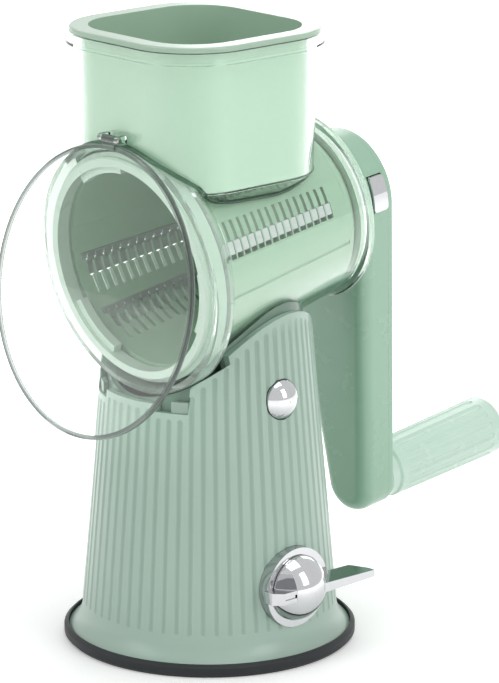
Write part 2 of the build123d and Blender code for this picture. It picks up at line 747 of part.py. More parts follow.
def guard_pin_place():
    """Centre of the guard's pin, from the guard's own frame."""
    spot = GUARD * Pos(0, GUARD_R + GUARD_PIN_UP, GUARD_PIN_OUT)
    return spot.position


def guard_ear(side):
    """One ear on the hopper's front wall, bored for the guard's pin."""
    spot = guard_pin_place()
    inner = side * (KNUCKLE_HALF + GAP)
    outer = side * (KNUCKLE_HALF + GAP + EAR_WIDTH)
    x = sorted((inner, outer))
    wall_y = HOPPER_Y - hopper_half(spot.Z) + HOPPER_WALL / 2
    ear = Pos(0, spot.Y, spot.Z) * along_x(rod(KNUCKLE_R, *x))
    ear += block(x, (spot.Y, wall_y), (spot.Z - KNUCKLE_R, spot.Z + KNUCKLE_R))
    return ear - Pos(0, spot.Y, spot.Z) * along_x(rod(GUARD_PIN_R + SLIP / 2, x[0] - 1, x[1] + 1))


def guard_pin():
    """Pin of the guard's hinge."""
    spot = guard_pin_place()
    half = KNUCKLE_HALF + GAP + EAR_WIDTH
    return Pos(0, spot.Y, spot.Z) * along_x(rod(GUARD_PIN_R, -half, half))


def splash_guard():
    """Clear disc with a thin raised rim, hung from its knuckle at the top."""
    sheet, bead = GUARD_SHEET / 2, GUARD_BEAD / 2
    step = GUARD_R - GUARD_BEAD_WIDTH
    disc = turned(
        (0, -sheet), (step, -sheet), (step, -bead), (GUARD_R - GUARD_EDGE, -bead),
        (GUARD_R, -bead + GUARD_EDGE), (GUARD_R, bead - GUARD_EDGE), (GUARD_R - GUARD_EDGE, bead),
        (step, bead), (step, sheet), (0, sheet),
    )
    pin_y = GUARD_R + GUARD_PIN_UP
    place = Pos(0, pin_y, GUARD_PIN_OUT)
    web = block((-KNUCKLE_HALF, KNUCKLE_HALF), (GUARD_R - GUARD_BEAD_WIDTH, pin_y),
                (0, GUARD_PIN_OUT + KNUCKLE_R / 2))
    guard = disc + web + place * along_x(rod(KNUCKLE_R, -KNUCKLE_HALF, KNUCKLE_HALF))
    guard -= place * along_x(rod(GUARD_PIN_R + FIT, -2 * KNUCKLE_HALF, 2 * KNUCKLE_HALF))
    return GUARD * guard


def bearing_bush():
    """Flanged bush in the rear cover."""
    bush = rod(BUSH_R, COVER_S, BUSH_FACE) + rod(BUSH_FLANGE_R, COVER_BACK, BUSH_FACE)
    return AXIS * (bush - rod(SHAFT_R + FIT, COVER_S - 1, BUSH_FACE + 1))


# ---------------------------------------------------------------- pusher
def pusher():
    """Open-topped pusher whose floor is arched to sit over the drum and its ring."""
    top = HOPPER_TOP + SLIP
    rim_top = top + PUSHER_RIM
    body = rounded_prism(PUSHER_HALF, PUSHER_HALF, PUSHER_CORNER, PUSHER_FOOT_Z, top + 1)
    rim_corner = PUSHER_CORNER + PUSHER_RIM_HALF - PUSHER_HALF
    rim = rounded_prism(PUSHER_RIM_HALF, PUSHER_RIM_HALF, rim_corner, top, rim_top)
    body += fillet(rim.edges().group_by(Axis.Z)[-1], PUSHER_RIM_ROUND)
    body -= over_drum(0)
    inner = PUSHER_HALF - PUSHER_WALL
    well = rounded_prism(inner, inner, PUSHER_CORNER - PUSHER_WALL, PUSHER_FOOT_Z + PUSHER_WALL, rim_top + 1)
    well -= over_drum(PUSHER_WALL)
    return largest(body - well)


def over_drum(extra):
    """The space of the drum and its ring under the pusher, grown by extra."""
    space = cone(drum_r, PUSHER_OVER_DRUM + extra, 3 * MOUTH_S, 3 * BARREL_END)
    space += rod(RING_R + PUSHER_OVER_RING + extra, 3 * MOUTH_S, DRUM_FRONT + PUSHER_OVER_RING + extra)
    return AXIS * space


# ---------------------------------------------------------------- drum
def around(angle):
    """Turn about the drum axis to an angle counted from +X towards the top."""
    return Rot(0, 0, -angle)


def slot_places():
    first = ROW_MIDDLE - (SLOTS - 1) * SLOT_PITCH / 2
    return [first + number * SLOT_PITCH for number in range(SLOTS)]


def sector(low_angle, high_angle, reach, low, high):
    """A wedge between two angles, used to keep a part of a cone."""
    steps = 4
    angles = [radians(-(low_angle + (high_angle - low_angle) * k / steps)) for k in range(steps + 1)]
    corners = [(0, 0)] + [(reach * cos(a), reach * sin(a)) for a in angles]
    face = make_face(Polyline(*corners, close=True))
    return Pos(0, 0, low) * extrude(face, high - low, dir=(0, 0, 1))


def drum_panels():
    """Two alike half shells with rows of slots, parted along the drum's two panel lines."""
    shell = cone(drum_r, 0, DRUM_FRONT, DRUM_END_FACE)
    shell -= cone(drum_r, -DRUM_WALL, DRUM_FRONT - 1, DRUM_END_FACE + 1)
    cuts = []
    for row in ROW_ANGLES:
        for s in slot_places():
            cuts.append(row_opening(row, s, SLOT_ANGLES, SLOT_WIDTH))
            cuts.append(row_opening(row, s, WINDOW_ANGLES, WINDOW_WIDTH))
    for angle in PANEL_ANGLES:
        low, high = DRUM_FRONT + PANEL_MARGIN, DRUM_SHOULDER - PANEL_MARGIN
        start, end = (drum_r(low), 0, low), (drum_r(high), 0, high)
        cuts.append(around(angle) * between(start, end, lambda length: capsule(PANEL_GROOVE, length)))
    shell -= cuts
    shell -= around(PANEL_ANGLES[0]) * block((-2 * DRUM_R, 2 * DRUM_R), (-FIT / 2, FIT / 2),
                                             (2 * MOUTH_S, 2 * BARREL_END))
    return [(AXIS * panel).solid() for panel in shell.solids()]


def drum_end():
    """Stepped cap that closes the drum's rear, with a spigot that centres the two panels."""
    spigot = DRUM_END_FACE - DRUM_SPIGOT
    cap = cone(drum_r, 0, DRUM_END_FACE + FIT, DRUM_SHOULDER)
    cap += cone(drum_r, -DRUM_WALL - FIT, spigot, DRUM_END_FACE + 1)
    cap += rod(DRUM_STEP_R, DRUM_END_FACE, DRUM_REAR)
    cap -= cone(drum_r, -2 * DRUM_WALL, spigot - 1, DRUM_END_FACE)
    cap -= rod(DRUM_STEP_R - DRUM_WALL, 0, DRUM_REAR - DRUM_REAR_WALL)
    return AXIS * (cap - rod(HUB_R + FIT, 0, 2 * DRUM_REAR))


def row_opening(row, s, angles, width):
    """A radial opening between two angles counted from the middle of its row."""
    middle, half = (angles[0] + angles[1]) / 2, (angles[1] - angles[0]) / 2
    span = 2 * drum_r(s) * sin(radians(half))
    return around(row + middle) * Pos(DRUM_R, 0, s) * Box(DRUM_R, span, width)


def polar(radius, angle):
    """A point in the axis frame at an angle counted from +X towards the top."""
    return (radius * cos(radians(angle)), -radius * sin(radians(angle)))


def blade_tooth(row, s):
    """One tooth: it rises from the strip inside the drum to lie nearly flush in its window."""
    far = s + TOOTH_WIDTH / 2
    foot_r = drum_r(far) - DRUM_WALL - FIT
    skin_r = drum_r(far) - BLADE_SUNK
    start, bend, risen, tip = [row + angle for angle in TOOTH_ANGLES]
    outline = Polyline(
        polar(foot_r - BLADE_SHEET, start), polar(foot_r, start), polar(foot_r, bend), polar(skin_r, risen),
        polar(skin_r, tip), polar(skin_r - BLADE_SHEET, tip), polar(skin_r - BLADE_SHEET, risen + 0.5),
        polar(foot_r - BLADE_SHEET, bend + 0.5), close=True)
    return Pos(0, 0, s - TOOTH_WIDTH / 2) * extrude(make_face(outline), TOOTH_WIDTH, dir=(0, 0, 1))


def drum_blades():
    """Steel combs, one for each row: a strip inside the drum with a tooth in every window."""
    combs = []
    low = slot_places()[0] - STRIP_MARGIN
    high = slot_places()[-1] + STRIP_MARGIN
    ring = cone(drum_r, -DRUM_WALL - FIT, low, high)
    ring -= cone(drum_r, -DRUM_WALL - FIT - BLADE_SHEET, low - 1, high + 1)
    for row in ROW_ANGLES:
        strip = ring & sector(row + STRIP_ANGLES[0], row + STRIP_ANGLES[1], 2 * DRUM_R, low, high)
        combs.append(AXIS * largest(strip + [blade_tooth(row, s) for s in slot_places()]))
    return combs


def drum_ring():
    """Light collar on the drum's mouth: a front lip, a step behind it and three lugs inside."""
    step = MOUTH_S + RING_LIP
    ring = turned(
        (RING_BORE, MOUTH_S), (RING_LIP_R - RING_EDGE, MOUTH_S), (RING_LIP_R, MOUTH_S + RING_EDGE),
        (RING_LIP_R, step), (RING_R, step + RING_EDGE), (RING_R, DRUM_FRONT),
        (drum_r(DRUM_FRONT), DRUM_FRONT), (RING_BORE, DRUM_FRONT - RING_LIP),
    )
    lug = turned(
        (RING_BORE - RING_LUG, MOUTH_S + RING_LUG_SINK), (RING_BORE + RING_EDGE, MOUTH_S + RING_LUG_SINK),
        (RING_BORE + RING_EDGE, DRUM_FRONT - RING_LIP), (RING_BORE - RING_LUG, DRUM_FRONT - RING_LIP),
    )
    for angle in LUG_ANGLES:
        ring += lug & sector(angle, angle + LUG_SPAN, 2 * RING_R, MOUTH_S, DRUM_FRONT)
    return AXIS * ring


def hexagon(across_flats, low, high):
    return Pos(0, 0, low) * extrude(RegularPolygon(across_flats / 2, 6, major_radius=False), high - low)


def drum_hub():
    """Hub in the drum's rear wall with the hexagonal socket for the shaft."""
    start = DRUM_REAR - HUB_LENGTH
    hub = rod(HUB_R, start, DRUM_REAR)
    flange_low = DRUM_REAR - DRUM_REAR_WALL - HUB_FLANGE_THICK
    hub += rod(HUB_R + HUB_FLANGE, flange_low, DRUM_REAR - DRUM_REAR_WALL - FIT)
    return AXIS * (hub - hexagon(HEX + 2 * SLIP, start + 2, DRUM_REAR + 1))


# ---------------------------------------------------------------- crank
def drive_shaft():
    """Hexagonal nose, round journal, square seat, groove for the catch and a round tail."""
    nose = DRUM_REAR - HUB_LENGTH + NOSE_INSET
    seat_low, seat_high = BUSH_FACE + SEAT_INSET, CATCH_S - CATCH_MARGIN
    shaft = hexagon(HEX, nose, DRUM_REAR + GAP)
    shaft += rod(SHAFT_R, DRUM_REAR + GAP / 2, seat_low)
    shaft += block((-SQUARE / 2, SQUARE / 2), (-SQUARE / 2, SQUARE / 2), (seat_low, seat_high))
    shaft += rod(SHAFT_R, seat_high, SHAFT_TAIL)
    shaft -= tube(SHAFT_R + 1, SHAFT_R - CATCH_GROOVE, CATCH_S - SLIP, CATCH_S + CATCH_SHEET + SLIP)
    return AXIS * shaft


def arm_outline(inset):
    """The arm's outline: a large hub circle drawn to a small end circle."""
    circles = Circle(ARM_HUB_R - inset) + ARM_END * Circle(ARM_END_R - inset)
    return make_hull(circles.edges())


def crank_button_window(extra):
    """The space of the crank's button, grown by extra."""
    half = CRANK_BUTTON_TALL / 2 + extra
    outer = sqrt(ARM_HUB_R ** 2 - (CRANK_BUTTON_UP + half) ** 2)
    return block((outer - CRANK_BUTTON_DEEP, 2 * ARM_HUB_R),
                 (-CRANK_BUTTON_UP - half, -CRANK_BUTTON_UP + half),
                 (CRANK_BUTTON_S - extra, CRANK_BUTTON_S + CRANK_BUTTON_WIDTH + extra))


def arm_shell():
    """Front shell of the crank arm: rounded outside, hollow behind, square seat in its hub."""
    shell = Pos(0, 0, ARM_FRONT) * extrude(arm_outline(0), ARM_SEAM - ARM_FRONT, dir=(0, 0, 1))
    shell = fillet(shell.edges().group_by(Axis.Z)[0], ARM_ROUND)
    hollow = Pos(0, 0, ARM_FRONT + ARM_WALL) * extrude(arm_outline(ARM_WALL), ARM_SEAM - ARM_FRONT,
                                                       dir=(0, 0, 1))
    hollow = fillet(hollow.edges().group_by(Axis.Z)[0], ARM_ROUND - ARM_WALL)
    shell -= hollow
    shell += rod(ARM_BOSS_R, ARM_SEAT, ARM_FRONT + ARM_WALL)
    shell += rod(SHAFT_R + SEAT_INSET, ARM_FRONT, CATCH_S - CATCH_MARGIN - SLIP)
    shell -= rod(SHAFT_R + SLIP, ARM_SEAT - 1, BUSH_FACE + SEAT_INSET + SLIP)
    half = SQUARE / 2 + SLIP / 2
    shell -= block((-half, half), (-half, half), (ARM_SEAT, ARM_SEAM))
    axle_boss = rod(AXLE_R + AXLE_WALL, ARM_FRONT + 1, ARM_SEAM)
    axle_boss -= rod(AXLE_R + FIT, ARM_FRONT + ARM_WALL, ARM_SEAM)
    shell += ARM_END * axle_boss
    for place in arm_screw_places():
        shell += place * rod(SCREW_R + ARM_SCREW_WALL, ARM_FRONT + 1, ARM_SEAM)
        shell -= place * rod(SCREW_R + FIT, ARM_SEAM - SCREW_LENGTH + 1, ARM_SEAM + 1)
    shell -= crank_button_window(GAP)
    return AXIS * shell


def arm_screw_places():
    """Screws through the arm's rear cover: one above the hub and two down the arm."""
    places = (-ARM_HUB_R + ARM_SCREW_INSET, ARM_HUB_R + ARM_SCREW_INSET, ARM_THROW - ARM_SCREW_END)
    return [Pos(0, down, 0) for down in places]


def arm_cover():
    """Rear cover of the arm, bored for the grip's axle and sunk for its screws."""
    cover = Pos(0, 0, ARM_SEAM + FIT) * extrude(arm_outline(0), ARM_REAR - ARM_SEAM - FIT, dir=(0, 0, 1))
    cover = fillet(cover.edges().group_by(Axis.Z)[-1], ARM_COVER_ROUND)
    cover -= ARM_END * rod(AXLE_R + FIT, ARM_SEAM - 1, ARM_REAR + 1)
    for place in arm_screw_places():
        cover -= place * rod(SCREW_R + SLIP, ARM_SEAM - 1, ARM_REAR + 1)
        cover -= place * rod(SCREW_HEAD_R + SLIP, ARM_REAR - SCREW_HEAD, ARM_REAR + 1)
    return AXIS * cover


def arm_screws():
    length = ARM_REAR - SCREW_HEAD - (ARM_SEAM - SCREW_LENGTH + 2)
    turned_over = Rot(180, 0, 0) * pan_screw(length)
    return [(AXIS * place * Pos(0, 0, ARM_REAR - SCREW_HEAD) * turned_over).solid()
            for place in arm_screw_places()]


def crank_button():
    """Chromed push button in the hub's side with its catch plate round the shaft's groove."""
    window = crank_button_window(0)
    outside = rod(ARM_HUB_R + CRANK_BUTTON_PROUD, ARM_FRONT, ARM_REAR)
    button = window & outside
    button = fillet(button.edges().filter_by(Axis.X), CRANK_BUTTON_ROUND)
    return AXIS * button


def crank_catch():
    """Keyhole plate pushed by the button, held in the shaft's groove at rest."""
    edge = sqrt(ARM_HUB_R ** 2 - (CRANK_BUTTON_UP + CRANK_BUTTON_TALL / 2) ** 2)
    inner = edge - CRANK_BUTTON_DEEP - FIT
    side = SHAFT_R + CATCH_SIDE
    plate = block((-SHAFT_R - CATCH_REACH, inner), (-side, side), (CATCH_S, CATCH_S + CATCH_SHEET))
    free = Pos(CRANK_BUTTON_TRAVEL + GAP, 0, 0) * Circle(SHAFT_R + GAP)
    held = Circle(SHAFT_R - CATCH_GROOVE + GAP)
    keyhole = Pos(0, 0, CATCH_S - 1) * extrude(make_hull((free + held).edges()), CATCH_SHEET + 2,
                                              dir=(0, 0, 1))
    return AXIS * (plate - keyhole)


def catch_spring():
    """Spring between the catch plate and the hub's far wall."""
    far = -ARM_HUB_R + ARM_WALL + 0.6
    near = -SHAFT_R - CATCH_REACH - FIT
    place = Pos(far, 0, CATCH_S + CATCH_SHEET / 2)
    return AXIS * (place * along_x(coil(CATCH_SPRING_R, CATCH_WIRE, CATCH_TURNS, near - far)))


# ---------------------------------------------------------------- grip
def grip_axle():
    """Steel axle pressed in the arm, with its retaining head inside the grip's end."""
    return AXIS * ARM_END * rod(AXLE_R, ARM_FRONT + ARM_WALL + SLIP, AXLE_END)


def grip_screw():
    """Flat head on the axle's end that keeps the sleeve on."""
    return AXIS * ARM_END * Pos(0, 0, AXLE_END + FIT) * rod(AXLE_R + AXLE_HEAD_REACH, 0, AXLE_HEAD)


def grip_collar():
    ring = tube(GRIP_COLLAR_R, AXLE_R + FIT, GRIP_START, GRIP_SLEEVE_START - FIT)
    ring = chamfer(ring.edges().filter_by(GeomType.CIRCLE).sort_by(Axis.Z)[0:1], 0.6)
    return AXIS * ARM_END * ring


def grip_sleeve():
    """Fluted sleeve that turns on the axle, a little wider at its far end."""
    low, high = GRIP_SLEEVE_START, GRIP_SLEEVE_END
    sleeve = turned(
        (0, low), (GRIP_R_NEAR - 1, low), (GRIP_R_NEAR, low + 1), (GRIP_R_FAR, high), (0, high),
    )
    out = GRIP_FLUTE_R - GRIP_FLUTE_DEPTH
    start, end = low + GRIP_MARGIN, high - GRIP_MARGIN
    near = (GRIP_R_NEAR + out, 0, start)
    far = (GRIP_R_NEAR + (GRIP_R_FAR - GRIP_R_NEAR) * (end - low) / (high - low) + out, 0, end)
    groove = between(near, far, lambda length: capsule(GRIP_FLUTE_R, length))
    sleeve -= [Rot(0, 0, k * 360 / GRIP_FLUTES) * groove for k in range(GRIP_FLUTES)]
    sleeve -= rod(AXLE_R + FIT, low - 1, high + 1)
    sleeve -= rod(AXLE_R + AXLE_WALL, high - GRIP_POCKET, high + 1)
    return AXIS * ARM_END * sleeve


def grip_cap():
    """Domed cap that closes the grip's end."""
    low = GRIP_SLEEVE_END + FIT
    cap = turned(
        (0, low), (GRIP_R_FAR, low), (GRIP_R_FAR, low + 0.3 * GRIP_CAP),
        (GRIP_R_FAR - 0.8, low + 0.6 * GRIP_CAP), (GRIP_R_FAR - 2.6, low + 0.85 * GRIP_CAP),
        (GRIP_R_FAR - 6, low + GRIP_CAP), (0, low + GRIP_CAP),
    )
    return AXIS * ARM_END * cap


# ---------------------------------------------------------------- write every node
PIECES = [
    rubber_foot, column, base_plate, base_screws,
    lever_bracket, pull_rod, lever_shaft, lever_clip, knob_bezel, lever_dome, lever_paddle,
    release_button, latch_pin, latch_guide, latch_spring,
    housing, housing_skirt, skirt_keys, rear_cover, bearing_bush, splash_guard, guard_pin, pusher,
    drum_panels, drum_end, drum_blades, drum_ring, drum_hub, drive_shaft,
    arm_shell, arm_cover, arm_screws, crank_button, crank_catch, catch_spring,
    grip_axle, grip_screw, grip_collar, grip_sleeve, grip_cap,
]

for piece in PIECES:
    save(piece(), piece.__name__)
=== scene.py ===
import json
import math

import bpy
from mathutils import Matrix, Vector


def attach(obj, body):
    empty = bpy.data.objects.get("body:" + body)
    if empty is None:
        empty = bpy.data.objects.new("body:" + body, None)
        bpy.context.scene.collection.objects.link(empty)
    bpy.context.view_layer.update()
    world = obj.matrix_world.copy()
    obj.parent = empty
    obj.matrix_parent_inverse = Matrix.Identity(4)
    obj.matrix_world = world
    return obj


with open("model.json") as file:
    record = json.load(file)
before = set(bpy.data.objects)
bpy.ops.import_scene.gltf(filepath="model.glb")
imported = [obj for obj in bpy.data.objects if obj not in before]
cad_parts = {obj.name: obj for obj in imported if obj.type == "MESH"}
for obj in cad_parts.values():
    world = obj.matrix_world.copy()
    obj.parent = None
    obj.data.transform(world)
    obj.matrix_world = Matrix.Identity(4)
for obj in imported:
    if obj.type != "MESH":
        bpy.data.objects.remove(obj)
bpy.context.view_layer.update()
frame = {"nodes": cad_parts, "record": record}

bl_info = {
    "name": "Rotary shredder pieces",
    "version": (1, 0, 0),
    "blender": (4, 5, 0),
    "location": "3D Viewport > Sidebar > Shredder",
    "description": "Finishes a hand-cranked shredder in mint and clear plastic, chrome, steel and rubber",
    "category": "Object",
}

NODES = frame["nodes"]

# Places and sizes of the solids that finishes and added edges follow, metres
COLUMN_FOOT_R = 0.058
COLUMN_TAPER = 0.089
AXIS_Z = 0.1795
AXIS_TILT = math.radians(7.0)
BARREL_R = 0.0467
BARREL_CONE = 0.109
RIM_R = 0.0564
RIM_BACK = -0.0375
FAIRING_BACK = -0.0285
HOPPER_Y = -0.0075
HOPPER_TOP = 0.2734
HOPPER_HALF = 0.04535
HOPPER_CORNER = 0.028
HOPPER_DRAFT = math.radians(1.0)
HOPPER_WAIST = 0.2122
GUARD_CENTRE = (0.0, -0.0662, 0.1676)
GUARD_R = 0.0632
GUARD_RIM_WIDE = 0.0021
FLARE_TOP = 0.0145
COLUMN_EDGE = 0.1500
RIM_BORE_R = 0.0515
RIM_SLACK = 0.0006
TUCK_DEEP = 0.0135

# Marks per metre in each surface's noise
FLOW_MARKS = 22.0
ORANGE_PEEL = 1100.0
HANDLING = 70.0
SCUFFS = 180.0
CLEAR_RIPPLES = 60.0
CHROME_RIPPLES = 40.0
CHROME_WIPES = 420.0
STEEL_GRAIN = 900.0
RUBBER_BLOOM = 70.0
RUBBER_PITS = 1400.0
FLOOR_MARKS = 40.0

# Optics
PLASTIC_IOR = 1.49
CLEAR_IOR = 1.45
TRAPPED_DEPTH = 5.5
BLACK = (0.0, 0.0, 0.0, 1.0)
ROOM_GREY = (0.5, 0.5, 0.5, 1.0)
WHITE = (1.0, 1.0, 1.0, 1.0)

# Stage
FLOOR_SIZE = 12.0
SHADOW_R = 0.07
SENSOR_WIDTH = 36.0
LAMP_TARGET = (0.0, 0.0, 0.14)

# Name, place, size and power in watts of each lamp
LAMPS = [
    ("right", (1.15, 0.20, 0.70), (0.45, 0.9), 3.6),
    ("left", (-0.35, -1.15, 0.75), (0.5, 0.9), 2.6),
    ("top", (0.15, 0.0, 1.30), (0.8, 0.8), 3.4),
    ("back", (-0.60, 1.00, 0.70), (0.8, 0.8), 3.0),
]

# Steps of each search by halving
HALVINGS = 30

# Pieces that are greyer than the rest of their slot
OWN_FINISH = {"skirt_keys": "key_plastic"}


# ------------------------------------------------------------------ node expressions
class Wire:
    """One socket of a node tree, usable in sums with numbers and other wires."""

    def __init__(self, board, socket):
        self.board = board
        self.socket = socket

    def _sum(self, operation, first, second):
        return self.board.node("ShaderNodeMath", {"operation": operation}, [first, second])

    def __add__(self, other):
        return self._sum("ADD", self, other)

    def __radd__(self, other):
        return self._sum("ADD", other, self)

    def __sub__(self, other):
        return self._sum("SUBTRACT", self, other)

    def __rsub__(self, other):
        return self._sum("SUBTRACT", other, self)

    def __mul__(self, other):
        return self._sum("MULTIPLY", self, other)

    def __rmul__(self, other):
        return self._sum("MULTIPLY", other, self)

    def __pow__(self, other):
        return self._sum("POWER", self, other)

    def over(self, other):
        return self._sum("GREATER_THAN", self, other)

    def either(self, other):
        return self._sum("MAXIMUM", self, other)

    def clamp(self):
        return self.board.node("ShaderNodeClamp", {}, {"Value": self})


class Board:
    """A node tree that nodes and sums are added to."""

    def __init__(self, tree):
        self.tree = tree

    def make(self, kind, settings, values):
        made = self.tree.nodes.new(kind)
        for key, value in settings.items():
            setattr(made, key, value)
        pairs = values.items() if isinstance(values, dict) else enumerate(values)
        for key, value in pairs:
            self.feed(made.inputs[key], value)
        return made

    def node(self, kind, settings, values, output=0):
        return Wire(self, self.make(kind, settings, values).outputs[output])

    def feed(self, socket, value):
        if isinstance(value, Wire):
            self.tree.links.new(value.socket, socket)
        else:
            socket.default_value = value

    def split(self, vector):
        made = self.make("ShaderNodeSeparateXYZ", {}, [vector])
        return [Wire(self, out) for out in made.outputs]

    def mix(self, factor, first, second):
        made = self.make("ShaderNodeMix", {"data_type": "RGBA"}, {"Factor": factor, 6: first, 7: second})
        return Wire(self, made.outputs[2])


class Finish(Board):
    """A material under construction, with one Principled shader at its output."""

    def __init__(self, name):
        self.material = bpy.data.materials.new(name)
        self.material.use_nodes = True
        super().__init__(self.material.node_tree)
        self.shader = self.tree.nodes["Principled BSDF"]
        self.output = self.tree.nodes["Material Output"]
        self.place = self.node("ShaderNodeTexCoord", {}, {}, output="Object")

    def set(self, **values):
        for key, value in values.items():
            self.feed(self.shader.inputs[key.replace("_", " ")], value)

    def noise(self, scale, detail=3.0, rough=0.5, place=None):
        return self.node("ShaderNodeTexNoise", {}, {
            "Vector": place or self.place, "Scale": scale, "Detail": detail, "Roughness": rough})

    def bump(self, height, strength, distance):
        return self.node("ShaderNodeBump", {}, {
            "Strength": strength, "Distance": distance, "Height": height})

    def surface(self, tone, rough, clearness=0.0):
        """A second shader, for blending with the first."""
        return self.node("ShaderNodeBsdfPrincipled", {}, {
            "Base Color": tone, "Roughness": rough, "IOR": CLEAR_IOR, "Transmission Weight": clearness})

    def blend(self, factor, first, second):
        return self.node("ShaderNodeMixShader", {}, [factor, first, second])


def colour(red, green, blue):
    """A linear colour from the eye's 0 to 255 values."""
    def linear(value):
        value /= 255
        return value / 12.92 if value <= 0.04045 else ((value + 0.055) / 1.055) ** 2.4
    return (linear(red), linear(green), linear(blue), 1.0)


def shaded(tone, share):
    """The same colour with its light cut to a share."""
    return tuple(share * value for value in tone[:3]) + (1.0,)


# ------------------------------------------------------------------ finishes
def flow_marks(finish, base, share):
    """The base colour with broad faint marks where the plastic flowed into its mould."""
    marks = (finish.noise(FLOW_MARKS) * 1.4 - 0.2).clamp()
    return finish.mix(marks, shaded(base, share), base)


def moulded(name, base, rough=0.3, coat=0.25):
    """Glossy moulded plastic with faint flow marks, fine orange peel and uneven gloss."""
    finish = Finish(name)
    peel = finish.noise(ORANGE_PEEL, 2.0)
    handled = finish.noise(HANDLING, 5.0, 0.6)
    finish.set(
        Base_Color=flow_marks(finish, base, 0.98),
        Roughness=(handled * 0.05 + (rough - 0.025)).clamp(),
        Normal=finish.bump(peel, 0.06, 0.00004),
    )
    finish.set(IOR=PLASTIC_IOR, Coat_Weight=coat, Coat_Roughness=0.10, Subsurface_Weight=0.05)
    finish.shader.inputs["Subsurface Radius"].default_value = (0.6, 1.0, 0.7)
    finish.shader.inputs["Subsurface Scale"].default_value = 0.003
    return finish


def column_finish(ridge, painted_groove_shade):
    """The column's plastic, with painted shade darkening its grooves between the flare and the top edge.
    """
    finish = moulded("mint_column", ridge, 0.34, 0.2)
    x, y, z = finish.split(finish.place)
    out = (x * x + y * y) ** 0.5
    # Painted shade: the colour darkens towards the groove tone where the surface sinks below the column's
    # outline
    depth = ((COLUMN_FOOT_R - COLUMN_TAPER * z) - out) * 2200.0
    above_flare = ((z - FLARE_TOP) * 500.0).clamp()
    below_edge = ((COLUMN_EDGE - z) * 200.0).clamp()
    painted_groove_shade_share = depth.clamp() * above_flare * below_edge
    finish.set(Base_Color=finish.mix(painted_groove_shade_share * 0.6, flow_marks(finish, ridge, 0.965), painted_groove_shade))
    return finish.material


def clear_shader(finish, tint, rough):
    """Clear moulded plastic with faint scuffs and ripples."""
    scuffs = finish.noise(SCUFFS, 6.0, 0.7)
    finish.set(
        Base_Color=tint,
        Roughness=((scuffs - 0.55) * 0.2 + rough).clamp(),
        Normal=finish.bump(finish.noise(CLEAR_RIPPLES, 2.0), 0.03, 0.0002),
    )
    finish.set(IOR=CLEAR_IOR, Transmission_Weight=1.0)
    return Wire(finish, finish.shader.outputs[0])


def edged(finish, body, tone, strength):
    """Paints shade onto clear plastic where it turns away from the view, standing in for the dark outlines
    a thick moulded edge shows.
    """
    turning = finish.node("ShaderNodeLayerWeight", {}, {"Blend": 0.5}, output="Facing")
    # Painted shade: clear plastic turning away from the view is blended towards a darker grey-green
    edge = ((turning - 0.80) * 6.0).clamp() * strength
    return finish.blend(edge, body, finish.surface(tone, 0.12, 0.6))


def let_through(finish, body):
    """Lets shadow rays and deeply trapped rays pass straight on."""
    path = finish.make("ShaderNodeLightPath", {}, {})
    shadow = Wire(finish, path.outputs["Is Shadow Ray"])
    trapped = Wire(finish, path.outputs["Transmission Depth"]).over(TRAPPED_DEPTH)
    through = finish.node("ShaderNodeBsdfTransparent", {}, {"Color": (0.94, 0.97, 0.95, 1.0)})
    finish.feed(finish.output.inputs["Surface"], finish.blend(shadow.either(trapped), body, through))
    return finish.material


def axis_frame(finish):
    """Distance along the drum axis and radius about it, at each point."""
    x, y, z = finish.split(finish.place)
    high = z - AXIS_Z
    along = y * math.cos(AXIS_TILT) + high * math.sin(AXIS_TILT)
    up = high * math.cos(AXIS_TILT) - y * math.sin(AXIS_TILT)
    return along, (x * x + up * up) ** 0.5


def housing_finish():
    """Clear plastic that turns milky and paler towards the thick rim of the mouth."""
    finish = Finish("clear_plastic")
    body = clear_shader(finish, colour(246, 252, 248), 0.03)
    along, out = axis_frame(finish)
    rim = ((RIM_BACK + 0.001 - along) * 900.0).clamp() * ((out - RIM_BORE_R) * 900.0).clamp()
    rim = rim * ((RIM_R + RIM_SLACK - out) * 2500.0).clamp()
    paler = finish.blend(rim * 0.25, body, finish.surface(colour(214, 234, 221), 0.25))
    # Painted shade along the housing's edges, in this darker grey-green
    return let_through(finish, edged(finish, paler, colour(104, 126, 113), 0.75))


def guard_finish():
    """Clear sheet whose raised rim carries a painted grey line of shade, standing in for darker
    surroundings seen through it.
    """
    finish = Finish("clear_guard")
    body = clear_shader(finish, colour(250, 253, 251), 0.02)
    x, y, z = finish.split(finish.place)
    away = (x ** 2.0 + (y - GUARD_CENTRE[1]) ** 2.0 + (z - GUARD_CENTRE[2]) ** 2.0) ** 0.5
    # Painted shade: the rim's band is blended to a darker grey clear surface
    rim = ((away - (GUARD_R - GUARD_RIM_WIDE)) * 4000.0).clamp()
    dark = finish.surface(colour(120, 134, 127), 0.18, 0.55)
    return let_through(finish, finish.blend(rim * 0.75, body, dark))


def skirt_finish():
    """Green-grey tinted clear plastic of the skirt, darkened with painted shade of the band tucked under
    the barrel.
    """
    finish = Finish("clear_skirt")
    body = clear_shader(finish, colour(178, 204, 188), 0.06)
    # Painted shade: a darker milky green-grey, blended in by noise over the whole skirt
    milk_and_painted_shade = finish.surface(colour(146, 176, 158), 0.3)
    return let_through(finish, finish.blend(finish.noise(CLEAR_RIPPLES) * 0.3 + 0.4, body, milk_and_painted_shade))


def edge_finish():
    """Deep green of thick clear plastic seen along its edge."""
    finish = Finish("deep_edge")
    return let_through(finish, clear_shader(finish, colour(96, 136, 112), 0.05))


def chrome_finish():
    """Plated trim with a faint ripple and fine wipe marks."""
    finish = Finish("chrome")
    ripple = finish.noise(CHROME_RIPPLES, 2.0, 0.4)
    wipes = finish.noise(CHROME_WIPES, 5.0, 0.7)
    finish.set(
        Base_Color=finish.mix(wipes, colour(188, 189, 191), colour(200, 201, 203)),
        Metallic=1.0,
        Roughness=(wipes * 0.10 + 0.02).clamp(),
        Normal=finish.bump(ripple, 0.10, 0.0005),
    )
    return finish.material


